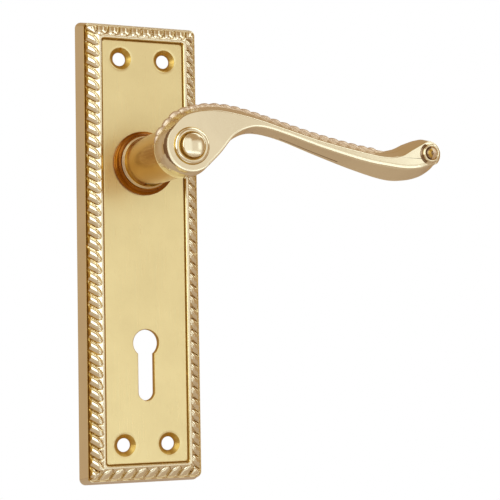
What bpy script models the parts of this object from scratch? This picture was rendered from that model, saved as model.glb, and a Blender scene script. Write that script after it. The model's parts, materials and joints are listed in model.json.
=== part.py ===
"""Lever handle on a long backplate with a rope-pattern border, and the return spring behind it.

Frame: the origin is where the spindle axis meets the door face. The door face is the plane
Y = 0, the front of the plate looks towards -Y, the lever points to +X, and +Z is up.
All sizes are in metres. "Front" is towards -Y and "back" towards +Y.
"""

import math

import bmesh
import bpy
from mathutils import Matrix, Vector

GAP = 0.0003                      # clearance between neighbouring pieces

# Backplate: a hollow-backed casting
PLATE_CENTRE_Z = -0.0277
PLATE_BACK_HALF = (0.0200, 0.0735)
PLATE_EDGE_HALF = (0.01885, 0.0723)
PANEL_HALF = (0.0136, 0.0671)
PLATE_CORNER = 0.0024
EDGE_Y = -0.0058                  # outer edge of the rope border
LIP_Y = -0.0087                   # crest of the lip inside the border
PANEL_Y = -0.0078                 # flat panel
FLOOR_Y = -0.0058                 # floor of the hollow back
PLATE_WALL = 0.0022
SCREW_X = 0.00736
SCREW_Z = 0.0611
SCREW_HOLE_R = 0.00215
SCREW_HEAD_R = 0.00375
KEYHOLE_Z = -0.0570
KEYHOLE_R = 0.00425
KEYHOLE_SLOT_HALF = 0.00265
KEYHOLE_FOOT_Z = -0.0724
BUSH_HOLE_R = 0.0084

# Neck, bush and collar
NECK_R = 0.00775
JOURNAL_R = 0.0072
SHOULDER_Y = -0.0091
JOURNAL_END_Y = 0.0016
JOURNAL_FLAT = 0.0063
FLAT_START_Y = -0.0017
COLLAR_R = 0.01015
COLLAR_FRONT_Y = -0.0105
BUSH_FLANGE_R = 0.0089
BUSH_FLANGE_Y = -0.0088

# Lever
FACE_Y = -0.0499                  # front face of the lever
WAIST_Y = -0.0448                 # lower edge of the underside facet
REAR_Y = -0.0408                  # back of the grip
HEAD_R = 0.0077                   # front face of the round head
HEAD_REAR_R = 0.0086
TIP_CENTRE = (0.0801, 0.0006)
TIP_R = 0.0040
HEAD_RING_R = 0.0057              # raised ring round the button on the head
TIP_RING_R = 0.0033

# Spindle and its fixing
SPINDLE_HALF = 0.0040
SPINDLE_FRONT_Y = -0.0330
SPINDLE_BACK_Y = 0.0450
GRUB_Y = -0.0160
GRUB_R = 0.0022

# Return spring, drive washer and stops in the hollow back
WASHER_R = 0.0100
WASHER_Y = (-0.0052, -0.0047)
WIRE_R = 0.00045
COIL_R = 0.0084
COIL_Y = (-0.00395, -0.00205)
COIL_TURNS = 1.75
LEG_B_ANGLE = math.radians(79.3)
DRIVE_R = 0.0102
DRIVE_Y = (-0.0013, -0.0003)
LUG_HALF = 0.0020
LUG_TIP = 0.0138
STOP_RADIUS = 0.0124
STOP_PIN_R = 0.0015
ANCHOR_RADIUS = 0.0118
ANCHOR_PIN_R = 0.0012
PIN_Y = (-0.0068, -0.0002)
TRAVEL = math.radians(45.0)
CLIP_Y = (0.0, 0.0006)
CLIP_R = (0.0069, 0.0084)
GROOVE_R = 0.0066

ROUND = 48                        # sides of a large round


# ---------------------------------------------------------------- basic tools

def clear_scene():
    for obj in list(bpy.data.objects):
        bpy.data.objects.remove(obj, do_unlink=True)


def make_material(name, colour, metallic, roughness):
    material = bpy.data.materials.new(name)
    material.use_nodes = True
    shader = material.node_tree.nodes["Principled BSDF"]
    shader.inputs["Base Color"].default_value = (*colour, 1.0)
    shader.inputs["Metallic"].default_value = metallic
    shader.inputs["Roughness"].default_value = roughness
    material.diffuse_color = (*colour, 1.0)
    return material


def add_object(name, mesh_builder, material=None, parent=None):
    """Turn a bmesh into an object, with its faces pointing out."""
    bmesh.ops.recalc_face_normals(mesh_builder, faces=mesh_builder.faces[:])
    mesh = bpy.data.meshes.new(name)
    mesh_builder.to_mesh(mesh)
    mesh_builder.free()
    obj = bpy.data.objects.new(name, mesh)
    bpy.context.scene.collection.objects.link(obj)
    obj.parent = parent
    if material:
        mesh.materials.append(material)
    mesh.shade_smooth()
    mesh.set_sharp_from_angle(angle=math.radians(30))
    return obj


def apply_tool(target, tool, operation):
    """Cut the tool from the target, or join it to the target."""
    tool.hide_render = True
    tool.display_type = "WIRE"
    modifier = target.modifiers.new(f"{operation.lower()} {tool.name}", "BOOLEAN")
    modifier.operation = operation
    modifier.solver = "EXACT"
    modifier.object = tool


def cut(target, tool):
    apply_tool(target, tool, "DIFFERENCE")


def join(target, tool):
    apply_tool(target, tool, "UNION")


def skin(rings, closed=False):
    """Faces between successive rings of the same length, with end caps unless closed."""
    builder = bmesh.new()
    rows = [[builder.verts.new(point) for point in ring] for ring in rings]
    pairs = list(zip(rows, rows[1:]))
    if closed:
        pairs.append((rows[-1], rows[0]))
    for low, high in pairs:
        for i in range(len(low)):
            j = (i + 1) % len(low)
            builder.faces.new((low[i], low[j], high[j], high[i]))
    if not closed:
        builder.faces.new(rows[0])
        builder.faces.new(rows[-1])
    return builder


def turned(profile, sides=ROUND, tube=False):
    """A turned shape about the Y axis. The profile lists (radius, y); a tube's profile closes
    on itself, and any other starts and ends on flat caps."""
    rings = []
    for radius, y in profile:
        steps = [2 * math.pi * k / sides for k in range(sides)]
        rings.append([(radius * math.cos(a), y, radius * math.sin(a)) for a in steps])
    return skin(rings, closed=tube)


def prism(outline, y_front, y_back):
    """A straight prism along Y over an outline of (x, z) points."""
    return skin([[(x, y, z) for x, z in outline] for y in (y_front, y_back)])


def move(builder, offset):
    bmesh.ops.translate(builder, verts=builder.verts[:], vec=offset)
    return builder


def arc(centre, radius, start, end, steps):
    """Points on an arc in the (x, z) plane, angles in radians, both ends included."""
    points = []
    for k in range(steps + 1):
        a = start + (end - start) * k / steps
        points.append((centre[0] + radius * math.cos(a), centre[1] + radius * math.sin(a)))
    return points


def smooth_through(points, steps):
    """A Catmull-Rom curve through the points, without its last point."""
    ends = [points[0]] + list(points) + [points[-1]]
    curve = []
    for k in range(len(points) - 1):
        p0, p1, p2, p3 = (Vector(p) for p in ends[k:k + 4])
        for step in range(steps):
            t = step / steps
            bend = (2 * p0 - 5 * p1 + 4 * p2 - p3) * t * t
            twist = (3 * p1 - p0 - 3 * p2 + p3) * t ** 3
            curve.append(tuple(0.5 * (2 * p1 + (p2 - p0) * t + bend + twist)))
    return curve


def rounded_rectangle(half_width, half_height, radius, centre_z, steps=5):
    points = []
    for quarter, (sx, sz) in enumerate(((1, 1), (-1, 1), (-1, -1), (1, -1))):
        centre = (sx * (half_width - radius), centre_z + sz * (half_height - radius))
        start = quarter * math.pi / 2
        points += arc(centre, radius, start, start + math.pi / 2, steps)
    return points


# ---------------------------------------------------------------- backplate

def plate_section(half, grow, radius, y):
    """One rounded rectangle of the plate, larger than half by grow on each side."""
    outline = rounded_rectangle(half[0] + grow, half[1] + grow, radius, PLATE_CENTRE_Z)
    return [(x, y, z) for x, z in outline]


def screw_places():
    for name_z, sz in (("upper", 1), ("lower", -1)):
        for name_x, sx in (("left", -1), ("right", 1)):
            yield f"{name_z}_{name_x}", sx * SCREW_X, PLATE_CENTRE_Z + sz * SCREW_Z


def keyhole_outline():
    """A round bow over a parallel slot with a round foot."""
    opening = math.asin(KEYHOLE_SLOT_HALF / KEYHOLE_R)
    bow = arc((0, KEYHOLE_Z), KEYHOLE_R, opening - math.pi / 2, 1.5 * math.pi - opening, 24)
    foot = arc((0, KEYHOLE_FOOT_Z), KEYHOLE_SLOT_HALF, math.pi, 2 * math.pi, 10)
    return bow + foot


def build_backplate(brass):
    border = 0.0003               # small chamfer outside the rope border
    sections = (
        plate_section(PANEL_HALF, 0.0027, PLATE_CORNER, FLOOR_Y),
        plate_section(PLATE_BACK_HALF, -PLATE_WALL, PLATE_CORNER, 0.0),
        plate_section(PLATE_BACK_HALF, 0.0, PLATE_CORNER, 0.0),
        plate_section(PLATE_EDGE_HALF, 0.0, PLATE_CORNER, EDGE_Y),
        plate_section(PLATE_EDGE_HALF, -border, PLATE_CORNER, EDGE_Y - border),
        plate_section(PANEL_HALF, 0.0011, 0.0011, LIP_Y),
        plate_section(PANEL_HALF, 0.0004, 0.0007, LIP_Y),
        plate_section(PANEL_HALF, 0.0, 0.0005, PANEL_Y),
    )
    plate = add_object("backplate", skin(sections), brass)
    through = (PANEL_Y - 0.003, 0.003)
    for label, x, z in screw_places():
        sink_depth = SCREW_HEAD_R - SCREW_HOLE_R
        over = 0.0005
        profile = (
            (SCREW_HEAD_R + over, PANEL_Y - over),
            (SCREW_HOLE_R, PANEL_Y + sink_depth),
            (SCREW_HOLE_R, through[1]),
        )
        cut(plate, add_object(f"screw_hole_{label}", move(turned(profile, 32), (x, 0, z))))
    cut(plate, add_object("keyhole", prism(keyhole_outline(), *through)))
    bore = turned(((BUSH_HOLE_R, through[0]), (BUSH_HOLE_R, through[1])))
    cut(plate, add_object("bush_hole", bore))
    for label, radius, place in pin_places():
        hole_r = radius + GAP
        hole = turned(((hole_r, PIN_Y[0] - GAP), (hole_r, 0.001)), 24)
        cut(plate, add_object(f"socket_{label}", move(hole, place)))
    return plate


# ---------------------------------------------------------------- bearing in the plate

def build_collar(brass):
    """Coved collar round the neck, counterbored to hold the bush flange."""
    profile = (
        (BUSH_FLANGE_R + GAP, PANEL_Y - GAP),
        (COLLAR_R, PANEL_Y - GAP),
        (COLLAR_R, PANEL_Y - 0.0009),
        (0.00995, PANEL_Y - 0.0010),
        (0.00975, PANEL_Y - 0.0013),
        (0.00935, PANEL_Y - 0.0018),
        (0.00895, PANEL_Y - 0.0022),
        (0.00895, COLLAR_FRONT_Y + 0.0001),
        (0.00880, COLLAR_FRONT_Y),
        (0.00825, COLLAR_FRONT_Y),
        (0.00810, COLLAR_FRONT_Y + 0.0001),
        (0.00810, SHOULDER_Y),
        (BUSH_FLANGE_R + GAP, SHOULDER_Y),
    )
    return add_object("neck_collar", turned(profile, tube=True), brass)


def build_bush(nylon):
    inner = JOURNAL_R + GAP
    outer = BUSH_HOLE_R - GAP
    profile = (
        (inner, BUSH_FLANGE_Y), (BUSH_FLANGE_R, BUSH_FLANGE_Y),
        (BUSH_FLANGE_R, PANEL_Y - GAP), (outer, PANEL_Y - GAP),
        (outer, FLOOR_Y), (inner, FLOOR_Y),
    )
    return add_object("bearing_bush", turned(profile, tube=True), nylon)


def build_thrust_washer(steel):
    inner = JOURNAL_R + GAP
    front, back = WASHER_Y
    profile = ((inner, front), (WASHER_R, front), (WASHER_R, back), (inner, back))
    return add_object("thrust_washer", turned(profile, tube=True), steel)


# ---------------------------------------------------------------- pins in the hollow back

def polar(radius, angle):
    return Vector((radius * math.cos(angle), 0.0, radius * math.sin(angle)))


def pin_places():
    """The stops sit either side of the lug's sweep, and the anchor beside the spring's leg."""
    clear = math.asin((LUG_HALF + STOP_PIN_R + GAP) / STOP_RADIUS)
    rest = math.pi / 2 + clear
    down = math.pi / 2 - TRAVEL - clear
    beside_leg = math.asin((WIRE_R + ANCHOR_PIN_R + GAP) / ANCHOR_RADIUS)
    anchor = leg_a_angle() - beside_leg
    return (
        ("stop_pin_rest", STOP_PIN_R, polar(STOP_RADIUS, rest)),
        ("stop_pin_down", STOP_PIN_R, polar(STOP_RADIUS, down)),
        ("spring_anchor_pin", ANCHOR_PIN_R, polar(ANCHOR_RADIUS, anchor)),
    )


def build_pins(steel):
    chamfer = 0.0002
    for name, radius, place in pin_places():
        front, back = PIN_Y
        profile = (
            (radius - chamfer, front), (radius, front + chamfer),
            (radius, back - chamfer), (radius - chamfer, back),
        )
        pin = add_object(name, turned(profile, 24), steel)
        pin.location = place


# ---------------------------------------------------------------- return spring

def leg_a_angle():
    return LEG_B_ANGLE + 2 * math.pi * COIL_TURNS


def leg(angle, y, outward):
    """A spring leg that bends from the coil and runs out along a radius."""
    side = Vector((-math.sin(angle), 0.0, math.cos(angle))) * outward
    out = polar(1.0, angle)
    bend = 0.0014
    points = []
    for k in range(1, 6):
        a = k / 5 * math.pi / 2
        along = out * (COIL_R + bend * (1 - math.cos(a))) + side * bend * (math.sin(a) - 1)
        points.append(along)
    points.append(out * (ANCHOR_RADIUS + 0.0010))
    return [(p.x, y, p.z) for p in points]


def spring_path():
    """From the fixed leg, round the coil, to the leg that the lever pushes."""
    steps = int(COIL_TURNS * 24)
    bend_angle = 0.0014 / COIL_R
    start = leg_a_angle() - bend_angle
    sweep = 2 * math.pi * COIL_TURNS - 2 * bend_angle
    coil = []
    for k in range(steps + 1):
        t = k / steps
        place = polar(COIL_R, start - sweep * t)
        coil.append((place.x, COIL_Y[0] + (COIL_Y[1] - COIL_Y[0]) * t, place.z))
    fixed_leg = leg(leg_a_angle(), COIL_Y[0], 1)
    moving_leg = leg(LEG_B_ANGLE, COIL_Y[1], -1)
    return fixed_leg[::-1] + coil[1:-1] + moving_leg


def tube_along(path, radius, sides):
    """A round wire along a path that never runs along Y."""
    points = [Vector(p) for p in path]
    rings = []
    for k, point in enumerate(points):
        along = (points[min(k + 1, len(points) - 1)] - points[max(k - 1, 0)]).normalized()
        side = along.cross(Vector((0, 1, 0))).normalized()
        rise = side.cross(along)
        ring = []
        for s in range(sides):
            a = 2 * math.pi * s / sides
            ring.append(point + radius * (math.cos(a) * side + math.sin(a) * rise))
        rings.append(ring)
    return skin(rings)


def build_spring(steel):
    return add_object("return_spring", tube_along(spring_path(), WIRE_R, 10), steel)


# ---------------------------------------------------------------- drive washer and circlip

def keyed_outline(radius, flat, steps):
    """A circle cut by two flats at x = +-flat."""
    edge = math.acos(flat / radius)
    top = arc((0, 0), radius, edge, math.pi - edge, steps)
    bottom = arc((0, 0), radius, math.pi + edge, 2 * math.pi - edge, steps)
    return top + bottom


def build_drive_washer(steel, lever_axis):
    """Washer keyed to the journal, with a lug for the stops and a tab for the spring."""
    front, back = DRIVE_Y
    disc = turned(((DRIVE_R, front), (DRIVE_R, back)))
    washer = add_object("drive_washer", disc, steel, lever_axis)
    lug_foot = DRIVE_R - 0.001
    lug = ((-LUG_HALF, lug_foot), (LUG_HALF, lug_foot), (LUG_HALF, LUG_TIP), (-LUG_HALF, LUG_TIP))
    join(washer, add_object("stop_lug", prism(lug, front, back)))
    tab_half = 0.0012
    tab = ((-tab_half, 0.0100), (tab_half, 0.0100), (tab_half, 0.0114), (-tab_half, 0.0114))
    join(washer, add_object("spring_tab", prism(tab, COIL_Y[1] - WIRE_R, back - 0.0002)))
    bore = keyed_outline(JOURNAL_R + GAP, JOURNAL_FLAT + GAP, 20)
    cut(washer, add_object("drive_bore", prism(bore, front - 0.001, back + 0.001)))
    return washer


def build_circlip(steel, lever_axis):
    """Open ring with two eyes at its gap."""
    inner, outer = CLIP_R
    opening = math.radians(24)
    middle = 1.5 * math.pi
    outline = arc((0, 0), inner, middle + opening, middle - opening + 2 * math.pi, 36)
    outline += arc((0, 0), outer, middle - opening + 2 * math.pi, middle + opening, 36)
    clip = add_object("circlip", prism(outline, *CLIP_Y), steel, lever_axis)
    eye_r = 0.0013
    for label, side in (("left", -1), ("right", 1)):
        place = polar((inner + outer) / 2 + 0.0006, middle + side * opening)
        eye = move(turned(((eye_r, CLIP_Y[0]), (eye_r, CLIP_Y[1])), 16), place)
        join(clip, add_object(f"clip_eye_{label}", eye))
        hole = turned(((0.0006, CLIP_Y[0] - 0.001), (0.0006, CLIP_Y[1] + 0.001)), 12)
        cut(clip, add_object(f"clip_hole_{label}", move(hole, place)))
    return clip


# ---------------------------------------------------------------- lever

def lever_outline(head_r, tip_r, tip_start, under, over, lean):
    """Closed outline of the lever at one depth.

    under and over list the points of the lower and upper edge between head and tip. tip_start
    is the angle, in degrees, where the lower edge meets the round tip. lean is the angle where
    the upper edge leaves the head, so the head swells towards the grip.
    """
    head = arc((0, 0), head_r, lean, math.radians(318), 26)
    tip = arc(TIP_CENTRE, tip_r, math.radians(tip_start), math.radians(112), 16)
    lower = smooth_through([head[-1]] + list(under) + [tip[0]], 3)
    upper = smooth_through([tip[-1]] + list(over) + [head[0]], 3)
    return head[:-1] + lower + tip[:-1] + upper


def lever_sections():
    """Front face, waist and rear outlines of the lever, front to back."""
    front = lever_outline(
        HEAD_R, TIP_R, tip_start=-50,
        under=((0.0095, -0.0014), (0.0138, 0.0036), (0.0183, 0.0060), (0.0230, 0.0064),
               (0.0300, 0.0048), (0.0432, 0.0009), (0.0569, -0.0025), (0.0660, -0.0039),
               (0.0720, -0.0044), (0.0765, -0.0040), (0.0796, -0.0031)),
        over=((0.0738, 0.0017), (0.0700, -0.0003), (0.0646, -0.0009), (0.0570, 0.0002),
              (0.0432, 0.0030), (0.0300, 0.0065), (0.0229, 0.0085), (0.0155, 0.0101),
              (0.0088, 0.01095), (0.00265, 0.01055), (-0.0023, 0.0088)),
        lean=math.radians(140),
    )
    waist = lever_outline(
        HEAD_REAR_R, TIP_R + 0.0012, tip_start=-30,
        under=((0.0090, -0.0032), (0.0128, 0.0016), (0.0175, 0.0045), (0.0225, 0.0051),
               (0.0300, 0.0036), (0.0418, -0.0004), (0.0550, -0.0047), (0.0660, -0.0075),
               (0.0730, -0.0075), (0.0783, -0.0063), (0.0822, -0.0042)),
        over=((0.0745, 0.0035), (0.0705, 0.0014), (0.0646, 0.0009), (0.0570, 0.0021),
              (0.0432, 0.0050), (0.0300, 0.0087), (0.0229, 0.0107), (0.0162, 0.0122),
              (0.0097, 0.0128), (0.0030, 0.0119), (-0.0024, 0.0098)),
        lean=math.radians(138),
    )
    rear = lever_outline(
        HEAD_REAR_R, TIP_R + 0.0013, tip_start=-30,
        under=((0.0090, -0.0030), (0.0128, 0.0020), (0.0175, 0.0050), (0.0225, 0.0060),
               (0.0300, 0.0048), (0.0418, 0.0010), (0.0550, -0.0030), (0.0660, -0.0058),
               (0.0730, -0.0061), (0.0784, -0.0050), (0.0821, -0.0034)),
        over=((0.0752, 0.0045), (0.0710, 0.0027), (0.0656, 0.0021), (0.0570, 0.0033),
              (0.0432, 0.0063), (0.0300, 0.0099), (0.0229, 0.0118), (0.0162, 0.0132),
              (0.0097, 0.0136), (0.0030, 0.0126), (-0.0025, 0.0102)),
        lean=math.radians(140),
    )
    layers = ((front, FACE_Y), (waist, WAIST_Y), (rear, REAR_Y))
    return [[(x, y, z) for x, z in outline] for outline, y in layers]


def raised_ring(radius, height):
    """Turned ring with a recessed domed button, standing on the front face."""
    base = FACE_Y + 0.0010
    crest = FACE_Y - height
    recess = FACE_Y - 0.0002
    profile = (
        (radius, base), (radius, crest + 0.0003), (radius * 0.95, crest), (radius * 0.84, crest),
        (radius * 0.78, crest + 0.0003), (radius * 0.78, recess), (radius * 0.70, recess),
        (radius * 0.69, crest), (radius * 0.55, crest - 0.0004), (radius * 0.30, crest - 0.0006),
        (radius * 0.04, crest - 0.00065),
    )
    return turned(profile, 32)


def build_lever(brass, lever_axis):
    lever = add_object("lever_handle", skin(lever_sections()), brass, lever_axis)
    neck = (
        (JOURNAL_R - 0.0003, JOURNAL_END_Y), (JOURNAL_R, JOURNAL_END_Y - 0.0003),
        (JOURNAL_R, CLIP_Y[1] + 0.0001), (GROOVE_R, CLIP_Y[1] + 0.0001),
        (GROOVE_R, CLIP_Y[0] - 0.0001), (JOURNAL_R, CLIP_Y[0] - 0.0001),
        (JOURNAL_R, SHOULDER_Y), (NECK_R, SHOULDER_Y), (NECK_R, REAR_Y - 0.001),
    )
    join(lever, add_object("neck", turned(neck)))
    join(lever, add_object("head_ring", raised_ring(HEAD_RING_R, 0.0013)))
    tip_x, tip_z = TIP_CENTRE
    join(lever, add_object("tip_ring", move(raised_ring(TIP_RING_R, 0.0012), (tip_x, 0, tip_z))))
    half = SPINDLE_HALF + GAP
    square = ((-half, -half), (half, -half), (half, half), (-half, half))
    bore = prism(square, SPINDLE_FRONT_Y - GAP, JOURNAL_END_Y + 0.002)
    cut(lever, add_object("spindle_bore", bore))
    for label, side in (("left", -1), ("right", 1)):
        inner, outer = side * JOURNAL_FLAT, side * 0.010
        block = ((inner, -0.010), (outer, -0.010), (outer, 0.010), (inner, 0.010))
        flat = prism(block, FLAT_START_Y, JOURNAL_END_Y + 0.002)
        cut(lever, add_object(f"journal_flat_{label}", flat))
    hole = turned(((GRUB_R + GAP, 0.0), (GRUB_R + GAP, 0.012)), 24)
    cut(lever, add_object("grub_hole", point_down(hole)))
    return lever


def point_down(builder):
    """Turn a shape built along +Y to run down from the spindle axis at the grub screw."""
    bmesh.ops.rotate(builder, verts=builder.verts[:], matrix=Matrix.Rotation(-math.pi / 2, 3, "X"))
    return move(builder, (0, GRUB_Y, 0))


def build_grub_screw(steel, lever_axis):
    """Socket-head grub screw that pinches the spindle, below the surface of the neck."""
    start = SPINDLE_HALF + GAP
    end = NECK_R - 0.0004
    chamfer = 0.0003
    profile = (
        (GRUB_R - 2 * chamfer, start), (GRUB_R, start + 2 * chamfer),
        (GRUB_R, end - chamfer), (GRUB_R - chamfer, end),
    )
    screw = add_object("grub_screw", point_down(turned(profile, 24)), steel, lever_axis)
    socket_r = 0.00115
    socket = point_down(turned(((socket_r, end - 0.0014), (socket_r, end + 0.001)), 6))
    cut(screw, add_object("hex_socket", socket))
    return screw


def build_spindle(steel, lever_axis):
    """Square bar with chamfered ends."""
    chamfer = 0.0006
    small, full = SPINDLE_HALF - chamfer, SPINDLE_HALF
    sections = []
    for half, y in ((small, SPINDLE_FRONT_Y), (full, SPINDLE_FRONT_Y + chamfer),
                    (full, SPINDLE_BACK_Y - chamfer), (small, SPINDLE_BACK_Y)):
        sections.append([(-half, y, -half), (half, y, -half), (half, y, half), (-half, y, half)])
    return add_object("spindle", skin(sections), steel, lever_axis)


# ---------------------------------------------------------------- assembly

def main():
    clear_scene()
    brass = make_material("polished_brass", (0.83, 0.60, 0.24), 1.0, 0.16)
    plate_brass = make_material("plate_brass", (0.80, 0.62, 0.30), 1.0, 0.28)
    steel = make_material("zinc_plated_steel", (0.55, 0.56, 0.58), 1.0, 0.35)
    spring_steel = make_material("spring_steel", (0.30, 0.31, 0.33), 1.0, 0.30)
    nylon = make_material("nylon", (0.82, 0.80, 0.74), 0.0, 0.55)

    lever_axis = bpy.data.objects.new("lever_axis", None)
    bpy.context.scene.collection.objects.link(lever_axis)

    build_backplate(plate_brass)
    build_collar(brass)
    build_bush(nylon)
    build_thrust_washer(steel)
    build_pins(steel)
    build_spring(spring_steel)
    build_drive_washer(steel, lever_axis)
    build_circlip(spring_steel, lever_axis)
    build_lever(brass, lever_axis)
    build_grub_screw(steel, lever_axis)
    build_spindle(steel, lever_axis)


main()
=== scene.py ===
"""Looks for a sprung lever handle on a long backplate with a rope-pattern border.

The plate, collar, lever and return spring are built again here in fine mesh, to the CAD's
sizes. Every other CAD node keeps its shape and gets a procedural material. Sizes are in
millimetres unless a comment says metres; piece() turns them into metres.
"""
import json
import math

import bmesh
import bpy
from mathutils import Matrix, Vector


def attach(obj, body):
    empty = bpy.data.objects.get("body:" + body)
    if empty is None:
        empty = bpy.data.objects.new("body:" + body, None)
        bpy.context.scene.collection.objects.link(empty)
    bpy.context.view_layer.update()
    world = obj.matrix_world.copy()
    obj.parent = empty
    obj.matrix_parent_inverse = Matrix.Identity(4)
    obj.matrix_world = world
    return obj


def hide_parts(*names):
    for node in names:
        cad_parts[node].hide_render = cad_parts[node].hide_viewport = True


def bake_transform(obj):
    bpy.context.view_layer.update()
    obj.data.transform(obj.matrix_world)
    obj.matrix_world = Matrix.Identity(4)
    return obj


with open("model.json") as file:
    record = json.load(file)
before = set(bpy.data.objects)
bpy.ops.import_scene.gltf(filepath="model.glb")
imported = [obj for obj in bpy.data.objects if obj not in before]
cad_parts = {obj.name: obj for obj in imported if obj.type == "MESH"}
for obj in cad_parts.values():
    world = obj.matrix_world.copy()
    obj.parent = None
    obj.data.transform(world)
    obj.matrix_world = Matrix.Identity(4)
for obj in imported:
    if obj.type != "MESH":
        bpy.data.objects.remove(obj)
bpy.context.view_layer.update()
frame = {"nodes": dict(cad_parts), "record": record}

MM = 0.001
SMOOTH_ANGLE = 30.0                # edges sharper than this, in degrees, stay sharp
POLE_R = 0.002                     # radius of a turned solid's closed end

# Plate
PLATE_CENTRE_Z = -27.7
PLATE_BACK_HALF = (20.0, 73.5)
PLATE_EDGE_HALF = (18.85, 72.3)
PANEL_HALF = (13.6, 67.1)
PANEL_Y = -7.8
LIP_Y = -8.7
FLOOR_Y = -5.8                     # floor of the hollow back
RIM_WIDTH = 2.2                    # rim round the hollow back
ROPE_OUTER_Y = -5.55               # bed of the rope at the outer edge
ROPE_INNER_Y = -8.22               # bed of the rope at the lip
ROPE_CREST = 0.98                  # height of a strand over the bed
ROPE_RIDGE = 0.46                  # height of the thin ridge between strands
STRANDS_LONG = 40
STRANDS_SHORT = 10
STATION = 0.18                     # spacing of the mesh along the border
BED_INSET = 0.55                   # from the outer edge to the rope's bed
BED_WIDTH = 3.60                   # width of the rope's bed
ROPE_STEPS = 28                    # steps of the mesh over the bed
STRAND_HALF = 0.465                # half-width of a strand, as a share of the pitch
STRAND_SKEW = (0.50, 0.25, 0.70, 0.50)   # lean of the strands: right, top, left, bottom
SHADE_LINES = ((0.80, 1), (0.80, 1), (0.78, 1), (0.80, -1))   # start and side of the painted shade line
SCREW_X = 7.36                     # screw holes, from the plate's centre
SCREW_Z = 61.1
SCREW_HOLE_R = 2.15
SCREW_HEAD_R = 3.32
KEYHOLE_Z = -57.0
KEYHOLE_R = 4.25
KEYHOLE_SLOT_HALF = 2.65
KEYHOLE_FOOT_Z = -72.4
BUSH_HOLE_R = 8.4

# Lever
FACE_Y = -49.9
WAIST_Y = -44.8
REAR_Y = -40.8
HEAD_R = 7.7
HEAD_REAR_R = 8.6
TIP_CENTRE = (80.1, 0.6)
TIP_R = 4.0
NECK_R = 7.75
JOURNAL_R = 7.2
BUTTON_R = 3.40                    # of the dome on the head's button
FLARE_Y = -12.1                    # front of the small flare before the collar
SHOULDER_Y = -9.1
JOURNAL_END_Y = 1.6
BEAD_PITCH = 3.4
BEADS_END_X = 69.0                 # the beads stop here, before the curl
COVE_DEPTH = 0.45                  # of the cove beside the face of the head
HEAD_STEPS = 96                    # steps of a lever outline round its head,
UNDER_STEPS = 108                  # along the grip's underside,
TIP_STEPS = 56                     # round the curled tip
OVER_STEPS = 132                   # and back along the top

# Return spring
SPRING_COIL_R = 8.4
SPRING_WIRE_R = 0.45
SPRING_TURNS = 1.75
SPRING_BEND = 1.4                  # how far the coil swings out into a leg
SPRING_LEG_R = 12.8                # reach of both legs
SPRING_END_ANGLE = 79.3            # of the leg at the lever's tab, in degrees

# Stage
FLOOR_TOP_Z = -250
FLOOR_R = 900
CAMERA_TARGET = (36.69, -7.0, -27.12)
CAMERA_DISTANCE = 485.9
LIGHT_TARGET = (0.02, -0.02, -0.02)       # metres
LIGHT_COLOUR = (0.72, 0.89, 1.0)
ROOM_COLOUR = (0.45, 0.30, 0.165, 1)


# ---------------------------------------------------------------- shapes

def arc(centre, radius, start, end, steps):
    """Points of an arc from start to end, in degrees, with both ends."""
    cx, cz = centre
    points = []
    for k in range(steps + 1):
        a = math.radians(start + (end - start) * k / steps)
        points.append((cx + radius * math.cos(a), cz + radius * math.sin(a)))
    return points


def smooth_through(points, steps):
    """A Catmull-Rom curve through the points, without its last point."""
    ends = [points[0]] + list(points) + [points[-1]]
    curve = []
    for k in range(len(points) - 1):
        p0, p1, p2, p3 = (Vector(p) for p in ends[k:k + 4])
        for step in range(steps):
            t = step / steps
            bend = (2 * p0 - 5 * p1 + 4 * p2 - p3) * t * t
            twist = (3 * p1 - p0 - 3 * p2 + p3) * t ** 3
            curve.append(tuple(0.5 * (2 * p1 + (p2 - p0) * t + bend + twist)))
    return curve


def smoothstep(low, high, value):
    """0 at low, 1 at high and an even S between them; low may be the greater."""
    t = min(max((value - low) / (high - low), 0.0), 1.0)
    return t * t * (3 - 2 * t)


def piece(name, vertices, faces, material, angle=SMOOTH_ANGLE):
    """A mesh object from points in millimetres, smooth but for edges sharper than angle."""
    mesh = bpy.data.meshes.new(name)
    mesh.from_pydata([Vector(v) * MM for v in vertices], [], faces)
    mesh.validate()
    obj = bpy.data.objects.new(name, mesh)
    bpy.context.scene.collection.objects.link(obj)
    mesh.materials.append(material)
    turn_normals_out(mesh)
    shade_smooth(mesh, angle)
    return obj


def turn_normals_out(mesh):
    """Make every face of a closed mesh look outwards."""
    bm = bmesh.new()
    bm.from_mesh(mesh)
    bmesh.ops.recalc_face_normals(bm, faces=bm.faces)
    bm.to_mesh(mesh)
    bm.free()


def shade_smooth(mesh, angle):
    """Smooth shading, split at edges sharper than angle."""
    mesh.polygons.foreach_set("use_smooth", [True] * len(mesh.polygons))
    mesh.set_sharp_from_angle(angle=math.radians(angle))


def skin(rings, closed=False):
    """Faces between rings of equal length, with both ends capped, or joined if closed."""
    count = len(rings[0])
    vertices = [v for ring in rings for v in ring]
    faces = []
    spans = len(rings) if closed else len(rings) - 1
    for k in range(spans):
        a = k * count
        b = (k + 1) % len(rings) * count
        for j in range(count):
            n = (j + 1) % count
            faces.append((a + j, a + n, b + n, b + j))
    if not closed:
        faces.append(tuple(range(count - 1, -1, -1)))
        faces.append(tuple(range((len(rings) - 1) * count, len(rings) * count)))
    return vertices, faces


def circle(radius, y, sides, centre=(0.0, 0.0)):
    """A ring of points round an axis along Y."""
    points = []
    for k in range(sides):
        a = math.tau * k / sides
        points.append((centre[0] + radius * math.cos(a), y, centre[1] + radius * math.sin(a)))
    return points


def turned(profile, sides, centre=(0.0, 0.0)):
    """A solid turned round an axis along Y from (radius, y) points; zero radii close it."""
    return skin([circle(max(r, POLE_R), y, sides, centre) for r, y in profile])


def turned_tube(profile, sides):
    """A ring turned round the Y axis from a closed (radius, y) outline."""
    return skin([circle(r, y, sides) for r, y in profile], closed=True)


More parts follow.
